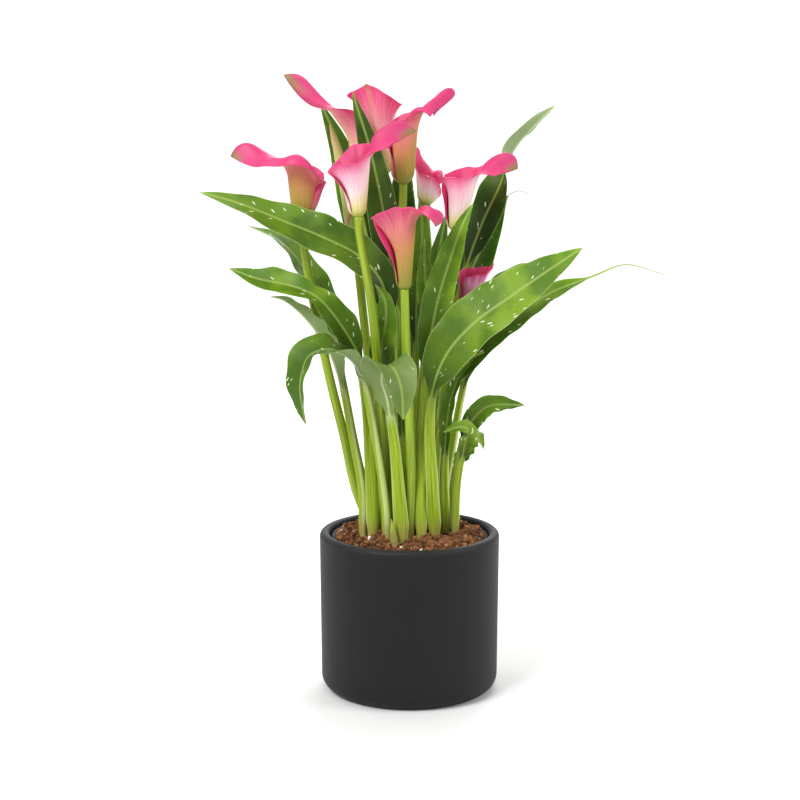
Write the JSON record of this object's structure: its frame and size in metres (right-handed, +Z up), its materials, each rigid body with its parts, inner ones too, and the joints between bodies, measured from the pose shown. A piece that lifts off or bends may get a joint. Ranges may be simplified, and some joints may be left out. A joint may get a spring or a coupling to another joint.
{
  "type": "potted calla lily",
  "caption": "Flowering calla lily with pink spathes and white-flecked lance leaves, rooted in soil in a grower's pot inside a round charcoal cover pot.",
  "frame": {"origin": "centre of the cover pot's flat underside", "axes": "+Z up along the pot's axis; -Y towards the plant's front, +X to the right as seen from the front"},
  "size_m": [0.3535, 0.2015, 0.4775],
  "materials": {
    "charcoal_ceramic": "matt charcoal glaze, smooth, soft highlight at the rim",
    "black_plastic": "thin black nursery plastic, slightly shiny",
    "soil": "loose coir and peat crumbs with white perlite",
    "leaf": "satin green leaf with white flecks, grey-green underneath",
    "stalk": "smooth fleshy yellow-green stalk, faintly ribbed",
    "spathe": "satin pink spathe fading through white to yellow-green, fine lengthwise veins",
    "bud": "rolled yellow-green spathe with a pink-brown margin",
    "spadix": "yellow, finely knobbed"
  },
  "bodies": {
    "root": {"cover_pot": "charcoal_ceramic", "grower_pot": "black_plastic", "leaf_left_long": "leaf", "leaf_left_twisted": "leaf", "leaf_left_folded": "leaf", "leaf_left_arching": "leaf", "leaf_front_folded": "leaf", "leaf_middle_left": "leaf", "leaf_middle_rolled": "leaf", "leaf_tall_middle": "leaf", "leaf_tall_left": "leaf", "leaf_tall_behind": "leaf", "leaf_middle_right": "leaf", "leaf_inner_right": "leaf", "leaf_front_right": "leaf", "leaf_bright_right": "leaf", "leaf_back_right": "leaf", "leaf_dark_right": "leaf", "leaf_big_right": "leaf", "leaf_long_right": "leaf", "leaf_hooked_right": "leaf", "leaf_low_right": "leaf", "leaf_low_curled": "leaf", "leaf_low_back": "leaf", "leaf_rear_left": "leaf", "leaf_rear_middle": "leaf", "leaf_rear_right": "leaf", "flower_stem_1": "stalk", "flower_stem_2": "stalk", "flower_stem_3": "stalk", "flower_stem_4": "stalk", "flower_stem_5": "stalk", "flower_stem_6": "stalk", "flower_stem_7": "stalk", "flower_stem_8": "stalk", "flower_stem_9": "stalk", "flower_stem_10": "stalk", "spathe_1": "spathe", "spadix_1": "spadix", "spathe_2": "spathe", "spadix_2": "spadix", "spathe_3": "spathe", "spadix_3": "spadix", "spathe_4": "spathe", "spadix_4": "spadix", "spathe_5": "spathe", "spadix_5": "spadix", "spathe_6": "spathe", "spadix_6": "spadix", "spathe_7": "spathe", "spadix_7": "spadix", "spathe_8": "spathe", "spadix_8": "spadix", "spathe_9": "spathe", "spadix_9": "spadix", "spathe_10": "bud", "young_shoot": "stalk", "potting_soil": "soil"}
  },
  "joints": []
}
